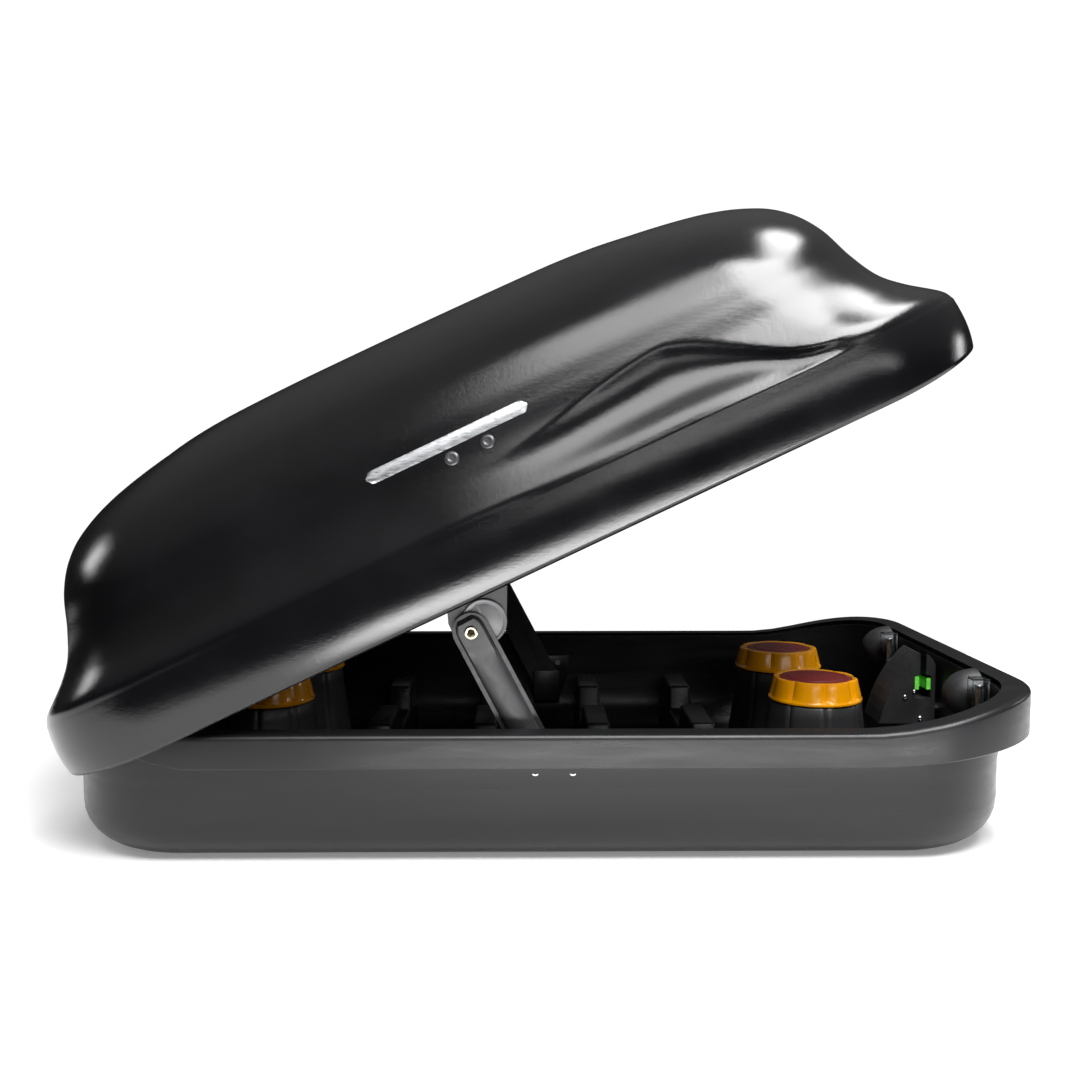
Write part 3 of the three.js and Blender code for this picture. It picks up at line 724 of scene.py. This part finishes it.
def rivet(name, place, normal, radius, hollow):
    """A rivet's domed head, with a dimple or a hollow in its middle."""
    dome = [(radius, -1.0), (radius, 0.8), (radius * 0.93, 1.5), (radius * 0.75, 2.2)]
    if hollow:
        dome += [(radius * 0.55, 2.3), (radius * 0.42, 1.9), (radius * 0.4, -0.8), (0, -0.8)]
    else:
        dome += [(radius * 0.5, 2.5), (radius * 0.42, 2.0), (radius * 0.2, 1.9), (0, 2.1)]
    head = lathe(name, [(0, -1.0), *dome], (0, 0, 0), sides=28)
    turn = Vector((0, 0, 1)).rotation_difference(normal).to_matrix().to_4x4()
    head.data.transform(Matrix.Translation(place * MM) @ turn)
    return head


LID_RIVET_X = (-12, 30)
LID_RIVET_Z = 258
LID_RIVET_RADIUS = 8.0
LID_STRIP_X = (-19, 37)
LID_STRIP_Y = (322, 324.5)
LID_STRIP_Z = (254, 262)
BASE_RIVET_X = (-10, 31)
BASE_RIVET_Z = 106.5
BASE_RIVET_RADIUS = 6.0


def make_lid_rivets(name, side):
    """Two rivets through the lid's side, with tails and a strip across them inside."""
    heads = []
    for x in LID_RIVET_X:
        place, normal = lid_surface(x, LID_RIVET_Z, side)
        heads.append(rivet("head", place, normal, LID_RIVET_RADIUS, False))
        tail_place = (x, side * 326 - 4, LID_RIVET_Z)
        heads.append(lathe("tail", [(0, 0), (4, 0), (4, 8), (0, 8)], tail_place, "y", 16))
    strip = block("strip", LID_STRIP_X, sorted(side * y for y in LID_STRIP_Y), LID_STRIP_Z)
    rivets = joined("lid_rivet_pair_" + name, heads + [bevel(strip, 0.8)])
    finish(rivets, MATERIALS["rivet_black"], "lid", "rivet_black", "lid_rivets_" + name, on_lid=True)


def make_base_rivets(name, side):
    """Two hollow rivets through the tub's side, which hold the stay's bracket."""
    wall = RIM_HALF - RIM_LEDGE
    heads = []
    for x in BASE_RIVET_X:
        place = Vector((x, side * wall, BASE_RIVET_Z))
        heads.append(rivet("head", place, Vector((0, side, 0)), BASE_RIVET_RADIUS, True))
        tail_place = (x, side * 320, BASE_RIVET_Z)
        heads.append(lathe("tail", [(0, 0), (4.5, 0), (4.5, 2), (0, 2)], tail_place, "y", 20))
    finish(joined("base_rivet_pair_" + name, heads), MATERIALS["steel"], "base", "steel")


for side_name, side in SIDES:
    make_badge(side_name, side)
    make_lid_rivets(side_name, side)
    make_base_rivets(side_name, side)

finish(lid, None, "lid", "lid_gloss_black", "lid_shell", on_lid=True)

# ---------------------------------------------------------------- the roof bar clamps

LOBES = 8
LOBE_DEPTH = 4.6


def lobed(turn):
    """Broad round lobes with narrow valleys, which fade out at the knob's lower lip and in its well."""

    def radius_at(angle, radius, height):
        if radius < 50:
            return radius
        phase = ((angle + turn) * LOBES / (2 * math.pi) + 0.5) % 1.0 - 0.5
        return radius - LOBE_DEPTH * abs(2 * phase) ** 2.6 * smoothstep(height, 3.0, 6.0)

    return radius_at


def panelled(angle, radius, height):
    """Flat panels with a groove at each of their edges."""
    if radius < 56 or height < 10:
        return radius
    phase = (angle * 4 / math.pi) % 1.0 - 0.5
    flat = math.cos(math.pi / 8) / math.cos(phase * math.pi / 4)
    groove = 3.5 * math.exp(-(((abs(phase) - 0.5) / 0.06) ** 2))
    return radius * lerp(1.0, flat, 0.7) - groove * smoothstep(height, 14, 20)


def make_clamp(name, low, high):
    x, y = ((low[k] + high[k]) / 2 / MM for k in (0, 1))
    floor, top = low.z / MM, high.z / MM
    height = top - floor
    outer = (high.x - low.x) / 2 / MM
    top_radius = outer * 0.9
    ring = [(outer - 1.2, 0), (outer, 1.0), (outer, 3.0), (outer - 1.0, 4.4), (outer - 1.3, 6.5)]
    ring += [(lerp(outer - 1.3, top_radius, t), lerp(6.5, height - 2.2, t)) for t in (0.33, 0.66, 1.0)]
    ring += [(top_radius - 0.7, height - 0.7), (top_radius - 2.4, height), (47.2, height)]
    ring += [(46.0, height - 0.8), (45.2, height - 2.5), (45.2, 7.5), (8.0, 7.0)]
    ring += [(6.6, 6.0), (6.6, 0), (outer - 1.2, 0)]
    turn = math.pi / LOBES if y < 0 else 0.0
    knob = lathe("knob_" + name, ring, (x, y, floor), sides=LOBES * 24, radius_at=lobed(turn))
    finish(knob, MATERIALS["knob_orange"], "knob_" + name, "knob_orange", "clamp_knob_" + name)

    cap_low, cap_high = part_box("clamp_knob_cap_" + name)
    base, rise = cap_low.z / MM, (cap_high.z - cap_low.z) / MM
    disc = [(0, 4.0), (12, 4.0), (12, 0), (44.4, 0), (44.8, 1.0), (44.6, rise - 2.4), (43.6, rise - 1.6)]
    disc += [(38, rise - 1.3), (37.2, rise - 1.9), (35.2, rise - 1.9), (34.4, rise - 1.0)]
    disc += [(20, rise - 0.2), (0, rise)]
    cap = lathe("knob_cap_" + name, disc, (x, y, base), sides=72)
    finish(cap, MATERIALS["knob_red"], "knob_" + name, "knob_red", "clamp_knob_cap_" + name)

    house_low, house_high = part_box("clamp_housing_" + name)
    floor, height = house_low.z / MM, (house_high.z - house_low.z) / MM
    bell = [(75.0, 0), (76, 1.0), (76, 6.5), (75.2, 8.0), (74.0, 10.0), (72.5, 20)]
    bell += [(66, 62), (61.5, 96), (60.5, height - 2.5), (58.5, height), (8, height)]
    bell += [(7, height - 1), (7, height - 5), (8, height - 6), (54, height - 6)]
    bell += [(61, 60), (71, 6), (71, 0), (75.0, 0)]
    housing = lathe("clamp_bell_" + name, bell, (x, y, floor), sides=128, radius_at=panelled)
    finish(housing, MATERIALS["black_plastic"], "base", "black_plastic", "clamp_housing_" + name)


for clamp_name, (clamp_low, clamp_high) in CLAMPS.items():
    make_clamp(clamp_name, clamp_low, clamp_high)

# ---------------------------------------------------------------- the side stays

STAY_PIVOT = (-76.6, 78.4)
ARM_HALF = 21.0
ARM_LENGTH = 216.0
ARM_INNER = 303.3
ARM_OUTER = 315.5
ARM_TURN = math.radians(87.7)


def arm_half_width(u):
    """Half the arm's width at u along it: round at the eyelet, cut to a blunt point at its end."""
    if u < 0:
        return math.sqrt(max(0.0, ARM_HALF**2 - u * u))
    return ARM_HALF if u < ARM_LENGTH - 12 else lerp(ARM_HALF, 9.0, (u - ARM_LENGTH + 12) / 12)


def arm_height(u, v):
    """The height of the arm's outer face: a flat boss at the eyelet that runs into a half round ridge."""
    flange, ridge = 4.5, ARM_OUTER - ARM_INNER - 4.5
    half = arm_half_width(u)
    reach = max(0.0, half - 4.5)
    across = min(1.0, abs(v) / reach) if reach > 0.5 else 1.0
    boss = 1 - smoothstep(across, 0.82, 1.0)
    bar = math.sqrt(max(0.0, 1 - across * across))
    start = smoothstep(u, 16, 46)
    close = 1 - smoothstep(u, ARM_LENGTH - 9, ARM_LENGTH - 4)
    return flange + ridge * lerp(boss * (1 - smoothstep(-u, 13, 17)), bar, start) * close


def make_arm(name, side):
    points = []
    along = [-ARM_HALF * math.cos(math.radians(a)) for a in range(0, 90, 9)]
    along = [u + 0.05 if i == 0 else u for i, u in enumerate(along)]
    along += [lerp(0, 60, i / 16) for i in range(17)]
    along += [lerp(60, ARM_LENGTH - 14, i / 14) for i in range(1, 15)]
    along += [ARM_LENGTH - 14 + 14 * i / 7 for i in range(1, 8)]
    across = 28
    for u in along:
        half = arm_half_width(u)
        for j in range(across + 1):
            v = half * (2 * j / across - 1)
            points.append((u, side * (ARM_INNER + arm_height(u, v)), v))
        for j in range(across + 1):
            v = half * (1 - 2 * j / across)
            points.append((u, side * ARM_INNER, v))
    count = 2 * (across + 1)
    faces = loft_faces(count, len(along))
    faces += [tuple(range(count)), tuple(range((len(along) - 1) * count, len(along) * count))]
    arm = piece("arm_" + name, points, faces, 30)
    groove = block("groove", (82, 206), sorted((side * (ARM_INNER - 1), side * (ARM_INNER + 4))), (-6.5, 6.5))
    bore = lathe("bore", [(0, -40), (5.6, -40), (5.6, 40), (0, 40)], (0, side * 309, 0), "y", 28)
    combine(arm, [groove, bore], "DIFFERENCE", 30)
    pivot = Matrix.Translation(Vector((STAY_PIVOT[0], 0, STAY_PIVOT[1])) * MM)
    arm.data.transform(pivot @ Matrix.Rotation(ARM_TURN, 4, "Y"))
    body = "stay_arm_" + name
    finish(arm, MATERIALS["black_plastic"], body, "black_plastic", body, on_lid=True)


HUB_PLACE = (-59.6, 81.6)
HUB_RADIUS = 25.0
HUB_INNER = 299.1


def make_hub(name, side):
    """A grey disc with a raised rim and one radial rib, beside the eyelet."""
    radius, inner = HUB_RADIUS, HUB_INNER
    x, z = HUB_PLACE
    disc = [(0, 0), (radius, 0), (radius, 3.0), (radius - 0.8, 3.8), (radius - 3.2, 3.8)]
    disc += [(radius - 4.0, 3.0), (radius - 5.0, 3.0), (radius - 5.6, 3.5), (0, 3.5)]
    disc = [(r, side * h) for r, h in disc]
    hub = lathe("disc", disc, (x, side * inner, z), "y", 64)
    spoke_y = sorted((side * (inner + 2), side * (inner + 3.8)))
    spoke = block("spoke", (x - 1.6, x + 1.6), spoke_y, (z, z + 21))
    hub = joined("hub_" + name, [hub, bevel(spoke, 0.5)])
    finish(hub, MATERIALS["hub_grey"], "lid", "hub_grey", "stay_hub_" + name, on_lid=True)


EYELET_PROUD = 0.2
EYELET_INNER = 292.5


def make_eyelet(name, side):
    """A hollow brass rivet with a rolled head at each end."""
    x, z = STAY_PIVOT
    out, inward = ARM_OUTER + EYELET_PROUD, EYELET_INNER
    tube = [(3.4, inward), (6.2, inward), (7.3, inward + 0.7), (5.3, inward + 1.7), (5.3, out)]
    tube += [(7.2, out + 0.2), (7.5, out + 1.0), (6.8, out + 1.9), (5.4, out + 2.1)]
    tube += [(4.0, out + 1.5), (3.4, out), tube[0]]
    eyelet = lathe("eyelet_" + name, [(r, side * h) for r, h in tube], (x, 0, z), "y", 40, sharp=50)
    finish(eyelet, MATERIALS["brass"], "lid", "brass", "stay_eyelet_" + name, on_lid=True)


FORK_X = (-8, 33)
FORK_EDGE = 0.9


def make_fork(name, side):
    """The bracket on the tub's wall: a wall plate, a foot under the arm, and an upright with a stud."""
    plate = [(-28, 118), (-28, 96), (-8, 44), (33, 44), (50, 96), (50, 118)]
    low, high = sorted((side * 320.6, side * 324.4))
    foot = block("foot", FORK_X, sorted((side * 296, side * 323)), (46, 50))
    upright = block("upright", FORK_X, sorted((side * 296, side * 299.6)), (46, 98))
    stud = [(0, 297), (5, 297), (5, 301.4), (4.4, 302), (0, 302)]
    stud = lathe("stud", [(r, side * h) for r, h in stud], (12.5, 0, 80), "y", 32)
    plate = prism("plate", plate, low, high)
    parts = [bevel(plate, FORK_EDGE), bevel(foot, FORK_EDGE), bevel(upright, FORK_EDGE), stud]
    fork = joined("fork_" + name, parts)
    finish(fork, MATERIALS["bracket_black"], "base", "bracket_black", "stay_base_bracket_" + name)


for side_name, side in SIDES:
    make_fork(side_name, side)
    make_arm(side_name, side)
    make_hub(side_name, side)
    make_eyelet(side_name, side)

# ---------------------------------------------------------------- the rear end

REAR_WALL = RIM_REAR - RIM_LEDGE - WALL
STOP_OFFSET_Y = 38
STOP_OFFSET_Z = 14


def make_cup(name):
    """A domed cup on the rear wall with a rolled foot and a small stop beside it."""
    low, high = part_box("latch_cup_" + name)
    y, z = (low.y + high.y) / 2 / MM, (low.z + high.z) / 2 / MM
    radius, depth = (high.z - low.z) / 2 / MM, (high.x - low.x) / MM
    rings = [(0, -0.2), (radius, -0.2), (radius, -1.6)]
    for i in range(1, 10):
        angle = math.radians(10 * i)
        rings.append((radius * math.cos(angle) * 0.985, -1.6 - (depth - 1.6) * math.sin(angle)))
    cup = lathe("dome", [(max(0, r), h) for r, h in rings], (REAR_WALL, y, z), "x", 56, sharp=50)
    stop = [(0, -0.2), (6.5, -0.2), (6.5, -5), (5.4, -6.6), (3.6, -7.4), (0, -7.8)]
    knob = lathe("stop", stop, (REAR_WALL, y + STOP_OFFSET_Y, z + STOP_OFFSET_Z), "x", 28, sharp=50)
    cup = joined("cup_" + name, [cup, knob], 50)
    finish(cup, MATERIALS["black_plastic"], "base", "black_plastic", "latch_cup_" + name)


def make_pin(name):
    """A latch pin with a turned neck, a chamfered foot and a round head."""
    low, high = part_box("latch_pin_" + name)
    x, y = ((low[k] + high[k]) / 2 / MM for k in (0, 1))
    floor, length = low.z / MM, (high.z - low.z) / MM
    turned = [(0, 0), (2.4, 0), (3.6, 1.6), (3.6, 18), (3.0, 18.6), (3.0, 20.4), (3.6, 21), (3.6, length - 4)]
    turned += [(4.6, length - 4), (5, length - 3.4), (5, length - 0.8), (4.2, length), (0, length)]
    pin = lathe("pin_" + name, turned, (x, y, floor), sides=32)
    finish(pin, MATERIALS["steel"], "latch_pin_" + name, "steel", "latch_pin_" + name)


# Each head on the lock's side: its x and z, and its radius.
LOCK_RIVETS = ((490, 124, 3.2), (502, 132, 2.4), (511, 95, 3.4))


def make_lock_rivets():
    """Two rivets and the end of a cross pin on each side of the lock's housing."""
    low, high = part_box("lock_housing")
    heads = []
    for y in (low.y / MM, high.y / MM):
        outward = Vector((0, math.copysign(1, y), 0))
        for x, z, radius in LOCK_RIVETS:
            heads.append(rivet("head", Vector((x, y, z)), outward, radius, False))
    finish(joined("lock_rivets", heads), MATERIALS["steel"], "base", "steel")


for side_name, _ in SIDES:
    make_cup(side_name)
    make_pin(side_name)
make_lock_rivets()

# ---------------------------------------------------------------- CAD nodes that stay

KEPT_BEVELS = {
    "black_plastic": 0.8,
    "bracket_black": 0.6,
    "clear_plastic": 0.5,
    "steel": 0.4,
    "indicator_green": 0.5,
}
SLOTS = {row["node"]: row["material_slot"] for row in frame["record"]["subparts"]}
for node_name, obj in NODES.items():
    if obj.hide_render:
        continue
    slot = SLOTS[node_name]
    obj.data.materials.clear()
    obj.data.materials.append(MATERIALS[slot])
    bevel(obj, KEPT_BEVELS.get(slot, 0.5), 2, 40)

# ---------------------------------------------------------------- the studio

FLOOR_GLOW = 0.2
# In millimetres: it ends in front of the object, and behind it where the white background takes over.
FLOOR_FRONT = -1400
FLOOR_BACK = 1000
FLOOR_HALF = 3200
STUDIO_SIDES = 0.02
STUDIO_CEILING = 0.36
STUDIO_DARK_BELOW = 0.2
STUDIO_PALE_ABOVE = 0.95
BACKGROUND_WHITE = 1.05

LENS = 38.69
SENSOR = 36.0
CAMERA_PLACE = (-0.0177, -1.5725, 0.4560)
CAMERA_DOWN = 4.434
CAMERA_TURN = -0.59

# Each light: its name, place, what it faces, its size, and its power. Metres and watts.
LIGHTS = (
    ("key", (0.55, -1.5, 2.4), (0.55, -1.35, 0), (1.1, 1.7), 120),
    ("key_left", (-0.42, -1.65, 2.4), (-0.42, -1.5, 0), (0.84, 1.6), 34),
    ("key_rear", (0.85, -0.05, 2.4), (0.85, -0.05, 0), (0.6, 1.2), 32),
    ("floor_front", (0.2, -1.05, 0.02), (0.2, -1.05, 1.0), (0.9, 0.5), 21),
    ("far_strip", (0.9, -3.4, 1.3), (0.2, -0.4, 0.3), (2.6, 0.3), 14),
    ("floor_left", (-2.4, 0.4, 1.0), (-1.3, 0.5, 0), (0.5, 0.5), 5),
    ("floor_right", (2.4, 0.4, 1.0), (1.3, 0.5, 0), (0.5, 0.5), 5),
)


def make_floor():
    """A plain white sheet."""
    front = [(-FLOOR_HALF, FLOOR_FRONT, 0), (FLOOR_HALF, FLOOR_FRONT, 0)]
    back = [(FLOOR_HALF, FLOOR_BACK, 0), (-FLOOR_HALF, FLOOR_BACK, 0)]
    floor = piece("floor", front + back, [(0, 1, 2, 3)])
    s = Surface("floor")
    s.colour(s.noise(1.5), (0.9, 0.9, 0.9), (0.92, 0.92, 0.92))
    s.set(Roughness=0.9, Specular_IOR_Level=0.0)
    s.shader.inputs["Emission Color"].default_value = (1, 1, 1, 1)
    s.shader.inputs["Emission Strength"].default_value = FLOOR_GLOW
    floor.data.materials.append(s.material)


def area_light(name, place, target, size, energy):
    data = bpy.data.lights.new(name, "AREA")
    data.shape = "RECTANGLE"
    data.size, data.size_y = size
    data.energy = energy
    light = bpy.data.objects.new(name, data)
    bpy.context.scene.collection.objects.link(light)
    light.location = place
    light.rotation_euler = (Vector(target) - Vector(place)).to_track_quat("-Z", "Y").to_euler()


def make_world():
    """White to the camera. To everything else, a studio with dark sides and a pale ceiling."""
    world = bpy.data.worlds.new("studio")
    bpy.context.scene.world = world
    world.use_nodes = True
    nodes, links = world.node_tree.nodes, world.node_tree.links
    background = nodes["Background"]
    split = nodes.new("ShaderNodeSeparateXYZ")
    links.new(nodes.new("ShaderNodeTexCoord").outputs["Generated"], split.inputs["Vector"])
    studio = nodes.new("ShaderNodeMapRange")
    studio.inputs["From Min"].default_value = STUDIO_DARK_BELOW
    studio.inputs["From Max"].default_value = STUDIO_PALE_ABOVE
    studio.inputs["To Min"].default_value = STUDIO_SIDES
    studio.inputs["To Max"].default_value = STUDIO_CEILING
    links.new(split.outputs["Z"], studio.inputs["Value"])
    strength = nodes.new("ShaderNodeMapRange")
    strength.inputs["To Max"].default_value = BACKGROUND_WHITE
    links.new(nodes.new("ShaderNodeLightPath").outputs["Is Camera Ray"], strength.inputs["Value"])
    links.new(studio.outputs["Result"], strength.inputs["To Min"])
    links.new(strength.outputs["Result"], background.inputs["Strength"])
    background.inputs["Color"].default_value = (1, 1, 1, 1)


def make_camera():
    data = bpy.data.cameras.new("camera")
    data.lens = LENS
    data.sensor_width = SENSOR
    camera = bpy.data.objects.new("camera", data)
    bpy.context.scene.collection.objects.link(camera)
    camera.location = CAMERA_PLACE
    camera.rotation_euler = (math.radians(90 - CAMERA_DOWN), 0, math.radians(CAMERA_TURN))
    bpy.context.scene.camera = camera


make_floor()
make_world()
make_camera()
for light_name, light_place, faces_to, light_size, power in LIGHTS:
    area_light(light_name, light_place, faces_to, light_size, power)
bpy.context.scene.view_settings.view_transform = "Standard"
